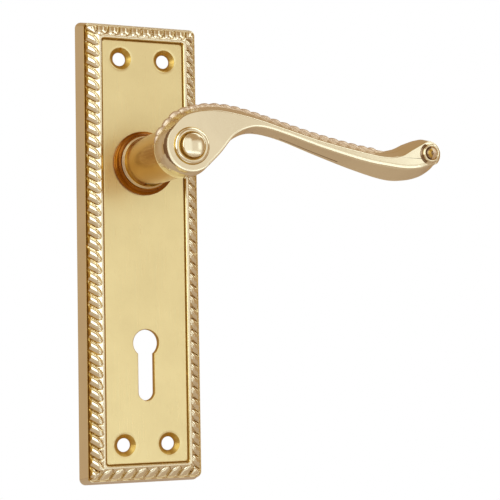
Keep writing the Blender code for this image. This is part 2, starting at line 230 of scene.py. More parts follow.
def merged(*shells):
    """Several (vertices, faces) shells as one."""
    vertices = []
    faces = []
    for shell_vertices, shell_faces in shells:
        start = len(vertices)
        vertices += shell_vertices
        faces += [tuple(start + i for i in face) for face in shell_faces]
    return vertices, faces


def prism(outline, y_front, y_back):
    """A straight prism along Y over a closed (x, z) outline."""
    front = [(x, y_front, z) for x, z in outline]
    back = [(x, y_back, z) for x, z in outline]
    return skin([front, back])


def cut(obj, shell):
    """Cut a closed shell out of obj."""
    tool = piece("tool", *shell, obj.data.materials[0])
    cutter = obj.modifiers.new("cut", "BOOLEAN")
    cutter.operation = "DIFFERENCE"
    cutter.solver = "EXACT"
    cutter.object = tool
    graph = bpy.context.evaluated_depsgraph_get()
    mesh = bpy.data.meshes.new_from_object(obj.evaluated_get(graph))
    obj.modifiers.clear()
    obj.data = mesh
    mesh.name = obj.name
    bpy.data.objects.remove(tool)
    shade_smooth(mesh, SMOOTH_ANGLE)


# ---------------------------------------------------------------- materials

def new_material(name):
    """A node material with its Principled shader and object coordinates in millimetres."""
    material = bpy.data.materials.new(name)
    material.use_nodes = True
    nodes = material.node_tree.nodes
    shader = nodes["Principled BSDF"]
    where = nodes.new("ShaderNodeTexCoord")
    scaled = nodes.new("ShaderNodeMapping")
    scaled.inputs["Scale"].default_value = (1000, 1000, 1000)
    material.node_tree.links.new(where.outputs["Object"], scaled.inputs["Vector"])
    return material, shader, scaled.outputs["Vector"]


def feed(material, socket, value):
    """Link a node's output to a socket, or set the socket to a plain value."""
    if isinstance(value, bpy.types.NodeSocket):
        material.node_tree.links.new(value, socket)
    else:
        socket.default_value = value


def add(material, kind, **inputs):
    """A node with some inputs linked or set."""
    node = material.node_tree.nodes.new(kind)
    for key, value in inputs.items():
        feed(material, node.inputs[key.replace("_", " ").title()], value)
    return node


def stretched(material, vector, scale):
    """Coordinates scaled by a different amount along each axis."""
    node = add(material, "ShaderNodeMapping", vector=vector, scale=scale)
    return node.outputs["Vector"]


def noise(material, vector, scale, detail=4.0, roughness=0.55):
    """Noise from 0 to 1; scale is in waves per millimetre."""
    node = add(material, "ShaderNodeTexNoise", vector=vector, scale=scale, detail=detail,
               roughness=roughness)
    return node.outputs["Fac"]


def remap(material, value, low, high, to_low, to_high):
    """value taken from the range low to high into the range to_low to to_high."""
    node = add(material, "ShaderNodeMapRange", value=value, from_min=low, from_max=high,
               to_min=to_low, to_max=to_high)
    return node.outputs["Result"]


def mixed(material, factor, first, second):
    """A colour between two, by factor."""
    node = material.node_tree.nodes.new("ShaderNodeMix")
    node.data_type = "RGBA"
    for key, value in (("Factor", factor), ("A", first), ("B", second)):
        feed(material, node.inputs[key], value)
    return node.outputs["Result"]


def math_node(material, operation, first, second):
    """The result of one arithmetic step on two values."""
    node = material.node_tree.nodes.new("ShaderNodeMath")
    node.operation = operation
    for key, value in enumerate((first, second)):
        feed(material, node.inputs[key], value)
    return node.outputs["Value"]


def bump(material, shader, height, distance, strength):
    """Fine relief from height; distance is in metres."""
    node = add(material, "ShaderNodeBump", height=height, distance=distance, strength=strength)
    material.node_tree.links.new(node.outputs["Normal"], shader.inputs["Normal"])


def pointiness(material):
    """Near 0.5 on flat faces, less in hollows and more on crests."""
    return material.node_tree.nodes.new("ShaderNodeNewGeometry").outputs["Pointiness"]


def brass(name, colour, dark, rough, grain, coat, marks, relief=True):
    """Lacquered brass. grain stretches the brush marks; dark tints the specks, and the hollows as
    painted shade.

    marks holds the distance and strength of the bump. relief adds painted shade in the hollows and
    rubbed crests, which a flat face doesn't have.
    """
    material, shader, place = new_material(name)
    cloud = noise(material, place, 0.09, 3.0)
    speck = noise(material, place, 1.6, 5.0)
    pale = tuple(min(1.0, c * 1.10 + 0.02) for c in colour) + (1,)
    tone = mixed(material, remap(material, cloud, 0.35, 0.7, 0.0, 0.55), colour + (1,), pale)
    tone = mixed(material, remap(material, speck, 0.62, 0.78, 0.0, 0.18), tone, dark + (1,))
    brush = noise(material, stretched(material, place, grain), 1.0, 6.0, 0.7)
    level = remap(material, brush, 0.3, 0.7, rough * 0.86, rough * 1.16)
    if relief:
        edge = pointiness(material)
        hollow = remap(material, edge, 0.44, 0.495, 1.0, 0.0)
        crest = remap(material, edge, 0.51, 0.58, 0.0, 1.0)
        # Painted shade: the hollows are darkened towards dark.
        tone = mixed(material, math_node(material, "MULTIPLY", hollow, 0.85), tone, dark + (1,))
        tone = mixed(material, math_node(material, "MULTIPLY", crest, 0.4), tone, pale)
        worn = math_node(material, "MULTIPLY", crest, rough * 0.3)
        level = math_node(material, "SUBTRACT", level, worn)
        level = math_node(material, "ADD", level, math_node(material, "MULTIPLY", hollow, 0.08))
    feed(material, shader.inputs["Base Color"], tone)
    feed(material, shader.inputs["Metallic"], 1.0)
    feed(material, shader.inputs["Roughness"], level)
    feed(material, shader.inputs["Coat Weight"], coat)
    feed(material, shader.inputs["Coat Roughness"], rough * 0.6)
    feed(material, shader.inputs["Coat IOR"], 1.5)
    height = math_node(material, "ADD", brush, math_node(material, "MULTIPLY", speck, 0.4))
    bump(material, shader, height, *marks)
    return material


def polished_brass():
    """Bright, for the lever's casting and the rope border."""
    return brass("brass_polished", (0.90, 0.82, 0.60), dark=(0.50, 0.27, 0.06), rough=0.15,
                 grain=(0.5, 0.5, 0.5), coat=0.5, marks=(0.00002, 0.35))


def satin_brass():
    """Brushed lengthwise, for the flat panel."""
    return brass("brass_satin", (0.90, 0.78, 0.42), dark=(0.60, 0.44, 0.18), rough=0.30,
                 grain=(4.0, 4.0, 0.05), coat=0.25, marks=(0.00002, 0.3), relief=False)


def collar_shade_brass():
    """Deep and warm as painted shade and painted reflection of the brass round it, with turning
    marks, for the collar.
    """
    return brass("brass_collar_shade", (0.29, 0.090, 0.002), dark=(0.16, 0.05, 0.002), rough=0.24,
                 grain=(0.6, 2.0, 0.6), coat=0.03, marks=(0.00003, 0.4))


def bead_shade_brass():
    """Rough like an unpolished casting, and darker and rosier as painted shade, for the beads, the
    tip's point and the neck's flare.
    """
    return brass("brass_beads_shade", (0.76, 0.62, 0.46), dark=(0.38, 0.22, 0.10), rough=0.48,
                 grain=(0.9, 0.9, 0.9), coat=0.05, marks=(0.00004, 0.5))


def shadow_brass():
    """Painted shade: dark brass laid in the coves beside the head and the tip's ring, the crease
    under the grip and part of the tip's point.
    """
    return brass("brass_painted_shade", (0.30, 0.19, 0.10), dark=(0.14, 0.07, 0.02), rough=0.24,
                 grain=(0.8, 0.8, 0.8), coat=0.3, marks=(0.00003, 0.4))


def recess_shade_brass():
    """Painted shade: duller, darker brass for the plate's recesses and rope lines, round the button
    and on the tip.
    """
    return brass("brass_recess_shade", (0.58, 0.37, 0.08), dark=(0.26, 0.12, 0.02), rough=0.38,
                 grain=(0.8, 0.8, 0.8), coat=0.2, marks=(0.00003, 0.5))


def neck_reflection_brass():
    """Deep yellow, painted as the reflection of the brass round it, with turning marks, for the neck
    and journal.
    """
    return brass("brass_neck_reflection", (0.52, 0.26, 0.004), dark=(0.27, 0.11, 0.003), rough=0.17,
                 grain=(0.4, 3.0, 0.4), coat=0.04, marks=(0.00002, 0.35))


def steel(name, colour, rough, blotch):
    """Metal for the hidden works: plating or oiled spring steel, with handling marks."""
    material, shader, place = new_material(name)
    cloud = noise(material, place, 0.5, 5.0, 0.65)
    grain = noise(material, stretched(material, place, (6.0, 0.8, 6.0)), 1.0, 5.0, 0.7)
    crest = remap(material, pointiness(material), 0.51, 0.58, 0.0, 0.6)
    tone = mixed(material, remap(material, cloud, 0.35, 0.7, 0.0, 1.0), colour + (1,), blotch + (1,))
    tone = mixed(material, crest, tone, (0.75, 0.76, 0.78, 1))
    level = remap(material, grain, 0.3, 0.7, rough * 0.75, rough * 1.3)
    feed(material, shader.inputs["Base Color"], tone)
    feed(material, shader.inputs["Metallic"], 1.0)
    feed(material, shader.inputs["Roughness"], level)
    bump(material, shader, math_node(material, "ADD", grain, cloud), 0.00003, 0.4)
    return material


def nylon():
    """Natural moulded nylon for the bearing bush."""
    material, shader, place = new_material("nylon_natural")
    cloud = noise(material, place, 0.35, 4.0)
    fine = noise(material, place, 5.0, 4.0, 0.7)
    tone = mixed(material, cloud, (0.80, 0.77, 0.69, 1), (0.70, 0.66, 0.55, 1))
    feed(material, shader.inputs["Base Color"], tone)
    feed(material, shader.inputs["Roughness"], remap(material, fine, 0.3, 0.7, 0.38, 0.55))
    feed(material, shader.inputs["Subsurface Weight"], 0.15)
    feed(material, shader.inputs["Subsurface Scale"], 0.001)
    bump(material, shader, fine, 0.00004, 0.4)
    return material


# ---------------------------------------------------------------- backplate

def corner_ring(half, radius, sides, shift, depth):
    """One closed ring of a rounded rectangle, split at its mitres.

    sides holds the stations on each of the four sides, from -1 to 1 between the mitres, and
    shift moves each side's stations along it, but for the mitres. depth(side, along) gives the
    ring's y, with along the distance from the middle of the side.
    """
    hx, hz = half
    ring = []
    for side, stations in enumerate(sides):
        across, reach = (hx, hz) if side % 2 == 0 else (hz, hx)
        flat = reach - radius
        bend = radius * math.pi / 4
        for u in stations:
            s = u * (flat + bend) + shift[side] * (1 - u ** 8)
            if abs(s) <= flat:
                along, out = s, across
            else:
                a = (abs(s) - flat) / radius
                along = math.copysign(flat + radius * math.sin(a), s)
                out = across - radius + radius * math.cos(a)
            turn = side * math.pi / 2
            x = out * math.cos(turn) - along * math.sin(turn)
            z = out * math.sin(turn) + along * math.cos(turn)
            ring.append((x, depth(side, along), z + PLATE_CENTRE_Z))
    return ring


def strand_place(side, along, inward):
    """Where a point lies on its strand: across it, and from its middle line or round end.

    Both are shares of the strand's half-width; the second is 1 at the strand's foot.
    """
    reach = PLATE_EDGE_HALF[1 - side % 2]
    pitch = 2 * reach / (STRANDS_LONG if side % 2 == 0 else STRANDS_SHORT)
    phase = (along - STRAND_SKEW[side] * (inward - BED_WIDTH / 2)) / pitch
    half = STRAND_HALF * pitch
    across = (phase - math.floor(phase) - 0.5) * pitch / half
    past = max(inward - (BED_WIDTH - half - 0.05), 0.0) / half
    return across, math.hypot(across, past)


def strand_height(side, along, inward):
    """Relief of the rope over its bed, inward millimetres from the outer edge of the bed.

    Strands run askew across the border, end in a round at the lip, run off the outer edge, and
    have a thin ridge between them. The mitres are ridges too.
    """
    reach = PLATE_EDGE_HALF[1 - side % 2]
    _, rho = strand_place(side, along, inward)
    if rho < 1:
        height = ROPE_CREST * (1 - rho * rho)
    else:
        height = ROPE_RIDGE * smoothstep(1.0, 1.075, rho)
    mitre = reach - BED_INSET - inward - abs(along)
    height = ROPE_RIDGE + (height - ROPE_RIDGE) * smoothstep(0.05, 0.45, mitre)
    return height * smoothstep(-0.35, 0.55, inward)


def border_stations():
    """Stations on the right, top, left and bottom sides, from -1 to 1 between the mitres."""
    sides = []
    for side in range(4):
        count = round(2 * PLATE_EDGE_HALF[1 - side % 2] / STATION)
        sides.append([-1 + 2 * k / count for k in range(count)])
    return sides


def grown(half, amount):
    """A rectangle's half sizes, each larger by amount."""
    return tuple(h + amount for h in half)


def back_rings(level):
    """The floor and wall of the hollow back, and the rim that lies on the door."""
    rim = grown(PLATE_BACK_HALF, -RIM_WIDTH)
    return [
        level(grown(PANEL_HALF, 2.2), 1.1, FLOOR_Y),
        level(grown(PANEL_HALF, 2.4), 1.2, FLOOR_Y),
        level(grown(PANEL_HALF, 2.6), 1.3, FLOOR_Y + 0.06),
        level(grown(PANEL_HALF, 2.75), 1.4, FLOOR_Y + 0.3),
        level(grown(rim, -0.1), 1.8, -0.3),
        level(rim, 1.9, -0.05),
        level(grown(rim, 0.15), 2.0, 0.0),
        level(grown(PLATE_BACK_HALF, -0.15), 1.9, 0.0),
        level(PLATE_BACK_HALF, 2.1, -0.12),
    ]


def flank_rings(level, shift):
    """The sloped outer side; the shift of the strands grows over it."""
    rings = []
    for t in (0.06, 0.35, 0.65, 0.93):
        half = tuple(b + (e - b) * t for b, e in zip(PLATE_BACK_HALF, PLATE_EDGE_HALF))
        y = -0.12 + (ROPE_OUTER_Y + 0.1) * t
        rings.append(level(half, 2.1 - 0.3 * t, y, [by * t for by in shift]))
    return rings


def edge_rings(sides, shift):
    """The rounded outer edge and the small step inside it, deeper on the long sides."""
    rings = []
    for out, y, sunk in ((0.03, -5.58, 0), (-0.03, -5.72, 0), (-0.12, -5.75, 0),
                         (-0.22, -5.70, 0.04), (-0.32, -5.66, 0.24), (-0.42, -5.62, 0.28),
                         (-0.50, -5.60, 0.18)):

        def step(side, along, y=y, sunk=sunk):
            return y + (sunk if side % 2 == 0 else 0)

        rings.append(corner_ring(grown(PLATE_EDGE_HALF, out), 1.8 + out, sides, shift, step))
    return rings


def rope_rings(sides):
    """The rope over its sloped bed, from the outer edge to the lip."""
    rings = []
    for k in range(ROPE_STEPS + 1):
        w = k / ROPE_STEPS
        half = tuple(e - BED_INSET - BED_WIDTH * w for e in PLATE_EDGE_HALF)
        shift = [skew * BED_WIDTH * (w - 0.5) for skew in STRAND_SKEW]

        def bed(side, along, w=w):
            y = ROPE_OUTER_Y + (ROPE_INNER_Y - ROPE_OUTER_Y) * w
            return y - strand_height(side, along, BED_WIDTH * w)

        rings.append(corner_ring(half, 1.4 - 0.4 * w, sides, shift, bed))
    return rings


def lip_rings(level, shift):
    """The lip, the step down from it, the groove at its foot and the panel's edge."""
    rings = []
    for out, y in ((0.95, LIP_Y - 0.03), (0.70, LIP_Y - 0.03), (0.44, LIP_Y + 0.01),
                   (0.32, LIP_Y + 0.08), (0.24, LIP_Y + 0.24), (0.19, PANEL_Y - 0.35),
                   (0.14, PANEL_Y + 0.06), (0.07, PANEL_Y + 0.16), (-0.03, PANEL_Y + 0.20),
                   (-0.13, PANEL_Y + 0.13), (-0.22, PANEL_Y + 0.04), (-0.32, PANEL_Y + 0.01),
                   (-0.50, PANEL_Y), (-0.62, PANEL_Y)):
        rings.append(level(grown(PANEL_HALF, out), 0.95, y, shift))
    return rings


def plate_rings():
    """Rings of the casting from the floor of its back, over the rim and front, to the panel."""
    sides = border_stations()
    start_shift = [-skew * BED_WIDTH / 2 for skew in STRAND_SKEW]
    end_shift = [-shift for shift in start_shift]

    def level(half, radius, y, shift=(0, 0, 0, 0)):
        return corner_ring(half, radius, sides, shift, lambda side, along: y)

    return (back_rings(level) + flank_rings(level, start_shift) + edge_rings(sides, start_shift)
            + rope_rings(sides) + lip_rings(level, end_shift))


def screw_places():
    """Centres of the four screw holes."""
    return [(sx * SCREW_X, PLATE_CENTRE_Z + sz * SCREW_Z) for sx in (-1, 1) for sz in (-1, 1)]


def screw_cutter(x, z):
    """A countersunk hole in a faint dish, with a softly rounded mouth."""
    neck = PANEL_Y + SCREW_HEAD_R - SCREW_HOLE_R
    profile = [(0, PANEL_Y - 2)]
    for out, sunk in ((1.1, -2), (1.1, -0.005), (0.75, 0.010), (0.42, 0.05), (0.20, 0.10),
                      (0.06, 0.18), (-0.10, 0.34)):
        profile.append((SCREW_HEAD_R + out, PANEL_Y + sunk))
    for out, past in ((0.14, 0.04), (0.04, 0.18), (0.0, 0.35)):
        profile.append((SCREW_HOLE_R + out, neck + past))
    profile += [(SCREW_HOLE_R, 0.0), (0, 0.0)]
    return turned(profile, 72, (x, z))


def keyhole_outline(grow):
    """The keyhole: a round bow over a slot with a round foot."""
    bow = KEYHOLE_R + grow
    slot = KEYHOLE_SLOT_HALF + grow
    meet = math.degrees(math.asin(slot / bow))
    outline = arc((0, KEYHOLE_Z), bow, -90 + meet, 270 - meet, 56)
    outline += arc((0, KEYHOLE_FOOT_Z), slot, 180, 360, 32)
    return outline


def keyhole_cutter():
    """The keyhole with a small round at its front edge."""
    rings = []
    for grow, y in ((0.30, PANEL_Y - 2), (0.30, PANEL_Y - 0.01), (0.16, PANEL_Y + 0.03),
                    (0.06, PANEL_Y + 0.10), (0.0, PANEL_Y + 0.25), (0.0, 0.0)):
        rings.append([(x, y, z) for x, z in keyhole_outline(grow)])
    return skin(rings)


def build_plate(satin, polished, recess_shade):
    """The plate casting: rope border, satin panel, countersinks, keyhole and hollow back."""
    plate = piece("plate_casting", *skin(plate_rings()), polished)
    plate.data.materials.append(satin)
    plate.data.materials.append(recess_shade)
    cutters = [screw_cutter(x, z) for x, z in screw_places()]
    cutters.append(keyhole_cutter())
    cutters.append(turned([(0, -12), (BUSH_HOLE_R, -12), (BUSH_HOLE_R, 0), (0, 0)], 128))
    cut(plate, merged(*cutters))
    for face in plate.data.polygons:
        face.material_index = plate_slot(face.center / MM, face.normal)
        if face.material_index == 1 and abs(face.normal.y) > 0.9999:
            face.use_smooth = False
    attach(plate, "plate")
    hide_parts("backplate")


def plate_slot(centre, normal):
    """0 for polished, 1 for the satin panel, 2 for painted shade in recesses, by the place of a
    face.
    """
    across = abs(centre.x)
    along = abs(centre.z - PLATE_CENTRE_Z)
    past = max(across - PANEL_HALF[0], along - PANEL_HALF[1])
    if past < -0.30:
        shallow = abs(centre.y - PANEL_Y) < 0.12 or abs(centre.y - FLOOR_Y) < 0.05
        return 1 if shallow and abs(normal.y) > 0.9 else 2
    if past < 0.20 and centre.y < FLOOR_Y - 0.5:
        return 2
    return rope_slot(centre) if centre.y < -5.2 else 0


def rope_slot(centre):
    """2, painted shade, in the line along one side of a strand and the scalloped strip at its foot
    on the left.
    """
    x, z = centre.x, centre.z - PLATE_CENTRE_Z
    gaps = (PLATE_EDGE_HALF[0] - abs(x), PLATE_EDGE_HALF[1] - abs(z))
    if gaps[0] < gaps[1]:
        side, along = (0, z) if x > 0 else (2, -z)
    else:
        side, along = (1, -x) if z > 0 else (3, x)
    inward = min(gaps) - BED_INSET
    across, rho = strand_place(side, along, inward)
    start, turn = SHADE_LINES[side]
    if side == 2 and inward < 0.10 + 0.50 * smoothstep(0.9, -0.5, across):
        return 2 if inward > 0.04 - BED_INSET else 0
    return 2 if start < across * turn and rho < 1.04 and 0.1 < inward < BED_WIDTH else 0


# ---------------------------------------------------------------- collar

def build_collar(material):
    """The coved collar round the neck, with a thin bead at its front."""
    foot = PANEL_Y - 0.3
    front = -10.5
    outer = [(10.00, foot), (10.17, foot - 0.12), (10.20, foot - 0.35), (10.12, foot - 0.58)]
    cove = smooth_through([(9.98, foot - 0.66), (9.66, foot - 0.80), (9.26, foot - 1.25),
                           (9.02, foot - 1.75), (8.92, foot - 2.05)], 6)
    bead = [(8.70 + 0.20 * math.cos(math.radians(a)), front + 0.2 - 0.2 * math.sin(math.radians(a)))
            for a in range(0, 91, 12)]
    inner = [(8.30, front + 0.01), (8.02, front + 0.03), (7.92, front + 0.06),
             (7.85, front + 0.14), (7.83, front + 0.5), (8.12, front + 0.95),
             (9.2, front + 1.2), (9.2, foot)]
    collar = piece("collar_ring", *turned_tube(outer + cove + bead + inner, 160), material, 40)
    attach(collar, "plate")
    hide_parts("neck_collar")


# ---------------------------------------------------------------- lever

def lever_outline(head_r, tip_r, tip_start, under, over, lean):
    """Closed outline of the lever at one depth, finely sampled.

    It runs round the head from the angle lean, along the points under the grip, round the tip
    from the angle tip_start, and back along the points over the grip.
    """
    head = arc((0, 0), head_r, lean, 318, HEAD_STEPS)
    tip = arc(TIP_CENTRE, tip_r, tip_start, 112, TIP_STEPS)
    lower = smooth_through([head[-1], *under, tip[0]], UNDER_STEPS // (len(under) + 1))
    upper = smooth_through([tip[-1], *over, head[0]], OVER_STEPS // (len(over) + 1))
    return head[:-1] + lower + tip[:-1] + upper


def lever_layers():
    """The outlines of the front face, the waist and the back."""
    front = lever_outline(
        HEAD_R, TIP_R, tip_start=-50,
        under=((9.5, -1.4), (13.8, 3.6), (18.3, 6.0), (23.0, 6.4), (30.0, 4.8), (43.2, 0.9),
               (56.9, -2.5), (66.0, -3.9), (72.0, -4.4), (76.5, -4.0), (79.6, -3.1)),
        over=((73.8, 1.7), (70.0, -0.3), (64.6, -0.9), (57.0, 0.2), (43.2, 3.0), (30.0, 6.5),
              (22.9, 8.5), (15.5, 10.1), (8.8, 10.95), (2.65, 10.55), (-2.3, 8.8)),
        lean=140,
    )
    waist = lever_outline(
        HEAD_REAR_R, TIP_R + 1.2, tip_start=-30,
        under=((9.0, -3.2), (12.8, 1.6), (17.5, 4.5), (22.5, 5.1), (30.0, 3.6), (41.8, -0.4),
               (55.0, -4.7), (66.0, -7.5), (73.0, -7.5), (78.3, -6.3), (82.2, -4.2)),
        over=((74.5, 3.5), (70.5, 1.4), (64.6, 0.9), (57.0, 2.1), (43.2, 5.0), (30.0, 8.7),
              (22.9, 10.7), (16.2, 12.2), (9.7, 12.8), (3.0, 11.9), (-2.4, 9.8)),
        lean=138,
    )
    rear = lever_outline(
        HEAD_REAR_R, TIP_R + 1.3, tip_start=-30,
        under=((9.0, -3.0), (12.8, 2.0), (17.5, 5.0), (22.5, 6.0), (30.0, 4.8), (41.8, 1.0),
               (55.0, -3.0), (66.0, -5.8), (73.0, -6.1), (78.4, -5.0), (82.1, -3.4)),
        over=((75.2, 4.5), (71.0, 2.7), (65.6, 2.1), (57.0, 3.3), (43.2, 6.3), (30.0, 9.9),
              (22.9, 11.8), (16.2, 13.2), (9.7, 13.6), (3.0, 12.6), (-2.5, 10.2)),
        lean=140,
    )
    return front, waist, rear


def cove_mask(k):
    """1 on the free side of the head, falling to 0 where it runs into the grip."""
    return smoothstep(0, 26, k) * smoothstep(HEAD_STEPS, HEAD_STEPS - 26, k)


def crown_width(k):
    """Width in millimetres of the softly sloped band at the lower edge of the front face."""
    if k < HEAD_STEPS:
        return 0.45 * smoothstep(0, 40, k)
    j = k - HEAD_STEPS
    grip = 0.45 + 0.55 * smoothstep(24, 56, j)
    return max(0.03, grip * smoothstep(UNDER_STEPS + 40, UNDER_STEPS, j))


def crease_mask(k):
    """1 along the middle of the grip's underside."""
    j = k - HEAD_STEPS
    return smoothstep(22, 36, j) * smoothstep(80, 62, j) if 0 <= j < UNDER_STEPS else 0.0


def inset(outline, amount):
    """The outline moved inwards, for small rounds and coves. amount may vary by point."""
    count = len(outline)
    moved = []
    for k, (x, z) in enumerate(outline):
        x0, z0 = outline[k - 1]
        x1, z1 = outline[(k + 1) % count]
        run = Vector((x1 - x0, z1 - z0)).normalized()
        by = amount(k) if callable(amount) else amount
        moved.append((x - run.y * by, z + run.x * by))
    return moved


def blended(first, second, t):
    """The outline between two, a share t of the way to the second."""
    return [(a + (c - a) * t, b + (d - b) * t) for (a, b), (c, d) in zip(first, second)]


def lever_shell():
    """The grip and head, from the front face over the waist to the back."""
    front, waist, rear = lever_layers()
    rings = []

    def add_ring(outline, y, drop=0.0):
        rings.append([(x, y + drop * crown_width(k), z) for k, (x, z) in enumerate(outline)])

    for share, drop in ((1.12, 0.0), (1.0, 0.0), (0.66, 0.04), (0.33, 0.11)):
        crown = inset(front, lambda k, share=share: 0.30 + share * crown_width(k))
        add_ring(crown, FACE_Y, drop)
    for amount, y in ((0.30, FACE_Y), (0.17, FACE_Y + 0.02), (0.07, FACE_Y + 0.07),
                      (0.01, FACE_Y + 0.16)):
        add_ring(inset(front, amount), y, 0.19)
    for j in range(1, 16):
        t = 0.03 + 0.90 * j / 15
        depth = COVE_DEPTH * math.sin(math.pi * min(t / 0.62, 1.0))
        outline = inset(blended(front, waist, t), lambda k, depth=depth: depth * cove_mask(k))
        add_ring(outline, FACE_Y + (WAIST_Y - FACE_Y) * t)
    for amount, crease, y in ((0.02, 0.04, -0.14), (0.05, 0.26, 0.0), (0.03, 0.26, 0.16)):
        outline = inset(waist, lambda k, a=amount, c=crease: a + c * crease_mask(k))
        add_ring(outline, WAIST_Y + y)
    for t in (0.08, 0.25, 0.5, 0.75, 0.88):
        add_ring(blended(waist, rear, t), WAIST_Y + (REAR_Y - WAIST_Y) * t)
    for amount, y in ((0.05, -0.32), (0.16, -0.13), (0.34, -0.03), (0.60, 0.0)):
        add_ring(inset(rear, amount), REAR_Y + y)
    return skin(rings)


def tip_slot(across, from_tip, depth):
    """The slot of a face on the tip's ring and point; see lever_slot."""
    # Painted shade: the left side of the ring and of the point gets the darker slots.
    if from_tip > 2.72 and depth > -1.27:
        return 1 if across < -0.40 * from_tip else 0
    if from_tip < 2.14 and across < -0.08 * from_tip:
        return 3 if 0.7 < from_tip < 1.5 else 1
    return 2 if from_tip < 1.78 else 0


def boss_slot(from_axis, depth):
    """The slot of a face on the head's ring and button; see lever_slot."""
    # The groove round the button and the ring's outer wall get painted shade.
    groove = 3.5 < from_axis < 4.0 and depth > -2.1
    outer_wall = from_axis > 5.33 and depth > -0.60
    return 3 if groove or outer_wall else 0


def lever_slot(centre):
    """The material slot of a face of the lever, by the place of its centre.

    0 is the polished face. 1 is painted shade in the coves to the left of the head's face and of
    the tip's ring, in the crease of the underside, and on part of the tip's point. 2 and 3 are
    painted shade on the rest of the point, and 3 is also round the head's button and ring.
    """
    depth = centre.y - FACE_Y
    across = centre.x - TIP_CENTRE[0]
    from_tip = math.hypot(across, centre.z - TIP_CENTRE[1])
    if from_tip < 3.45 and depth < -0.03:
        return tip_slot(across, from_tip, depth)
    from_axis = math.hypot(centre.x, centre.z)
    if from_axis < 5.66 and depth < -0.03:
        return boss_slot(from_axis, depth)
    # Painted shade in the cove on the head's free left side.
    if centre.x < 0 and from_axis > 6.8:
        angle = math.degrees(math.atan2(centre.z, centre.x)) % 360
        share = math.cos(math.radians(min(abs(angle - 186) / 62 * 90, 90)))
        return 1 if 0.22 < depth < 0.22 + 2.3 * share else 0
    # Painted shade along the crease under the grip.
    under_grip_shade = 21 < centre.x < 50 and centre.z < 6.3 - 0.19 * (centre.x - 17)
    return 1 if under_grip_shade and -1.3 < centre.y - WAIST_Y < -0.95 else 0


def boss(centre):
    """A broad low ring round a proud domed button, on the front face."""
    heights = [(5.70, -1.0), (5.68, -0.05), (5.62, 0.02), (5.54, 0.10), (5.44, 0.42), (5.28, 0.68),
               (5.02, 0.86), (4.70, 0.94), (4.38, 0.94), (4.14, 0.88), (3.96, 0.76), (3.82, 0.66),
               (3.70, 0.66), (3.62, 0.80), (3.58, 1.10), (3.56, 1.75), (3.53, 1.95), (3.47, 2.06)]
    for k in range(15):
        share = 1 - k / 14
        heights.append((BUTTON_R * share, 2.12 + 0.52 * (1 - share ** 2)))
    return turned([(r, FACE_Y - h) for r, h in heights], 96, centre)


def tip_point(centre):
    """The raised ring and pointed button on the curled tip."""
    heights = [(3.50, -1.0), (3.48, -0.05), (3.40, 0.02), (3.18, 0.10), (2.98, 0.30), (2.84, 0.60),
               (2.74, 0.95), (2.70, 1.25)]
    for k in range(1, 11):
        a = math.pi * k / 10
        heights.append((2.42 + 0.28 * math.cos(a), 1.28 + 0.24 * math.sin(a)))
    heights += [(2.06, 1.16), (1.96, 1.10), (1.86, 1.14), (1.80, 1.30)]
    for k in range(13):
        t = k / 12
        heights.append((1.76 * (1 - t), 1.45 + 1.10 * t ** 0.75))
    return turned([(r, FACE_Y - h) for r, h in heights], 72, centre)


def bead_path():
    """The rear top edge from the left of the head to the start of the curl."""
    _, _, rear = lever_layers()
    head = arc((0, 0), HEAD_REAR_R, 178, 141, 20)
    upper = [p for p in reversed(rear[-OVER_STEPS:]) if p[0] < BEADS_END_X]
    return head + upper


def bead_rope():
    """A rope of slanted beads laid along the rear top edge."""
    path = [Vector(p) for p in bead_path()]
    lengths = [0.0]
    for a, b in zip(path, path[1:]):
        lengths.append(lengths[-1] + (b - a).length)
    total = lengths[-1]
    beads = round(total / BEAD_PITCH)
    pitch = total / beads
    stations = beads * 16
    sides = 20
    rings = []
    k = 0
    for j in range(stations + 1):
        s = total * j / stations
        while k < len(lengths) - 2 and lengths[k + 1] < s:
            k += 1
        t = (s - lengths[k]) / (lengths[k + 1] - lengths[k])
        here = path[k].lerp(path[k + 1], t)
        run = (path[min(k + 2, len(path) - 1)] - path[max(k - 1, 0)]).normalized()
        out = Vector((-run.y, run.x))
        fade = smoothstep(0, 1.2 * pitch, s) * smoothstep(0, 1.6 * pitch, total - s)
        ring = []
        for i in range(sides):
            a = math.tau * i / sides
            phase = s / pitch + 0.16 * math.sin(a)
            share = (phase - math.floor(phase)) ** 1.2
            lobe = math.sin(math.pi * share) ** 0.5
            r = (0.68 + 0.66 * lobe) * (0.25 + 0.75 * fade)
            lift = -0.45 + r * math.cos(a)
            ring.append((here.x + out.x * lift, REAR_Y - 0.75 + 0.95 * r * math.sin(a),
                         here.y + out.y * lift))
        rings.append(ring)
    return skin(rings)


def neck_shell():
    """The neck behind the head, its shoulder and the journal, turned."""
    flare = [(8.35, REAR_Y - 1.5), (8.30, REAR_Y + 0.05), (8.12, REAR_Y + 0.22),
             (7.92, REAR_Y + 0.55), (7.80, REAR_Y + 1.1), (NECK_R, REAR_Y + 2.0)]
    plain = [(NECK_R, REAR_Y + (FLARE_Y - REAR_Y) * t) for t in (0.3, 0.6, 0.9)]
    plain += [(NECK_R, FLARE_Y - 0.06), (NECK_R + 0.02, FLARE_Y), (7.90, FLARE_Y + 0.03),
              (7.97, FLARE_Y + 0.10), (8.10, FLARE_Y + 0.50), (8.28, FLARE_Y + 0.95),
              (8.38, FLARE_Y + 1.12), (8.38, FLARE_Y + 1.22), (8.30, FLARE_Y + 1.28),
              (NECK_R + 0.1, FLARE_Y + 1.30), (NECK_R, FLARE_Y + 1.40)]
    foot = [(NECK_R, SHOULDER_Y - 0.25), (NECK_R - 0.07, SHOULDER_Y - 0.07),
            (NECK_R - 0.25, SHOULDER_Y), (JOURNAL_R, SHOULDER_Y), (JOURNAL_R, -0.05),
            (6.62, 0.0), (6.60, 0.65), (JOURNAL_R - 0.05, 0.7), (JOURNAL_R, 0.8),
            (JOURNAL_R, JOURNAL_END_Y - 0.25), (JOURNAL_R - 0.25, JOURNAL_END_Y)]
    profile = [(0, REAR_Y - 1.5)] + flare + plain + foot + [(0, JOURNAL_END_Y)]
    return turned(profile, 144)


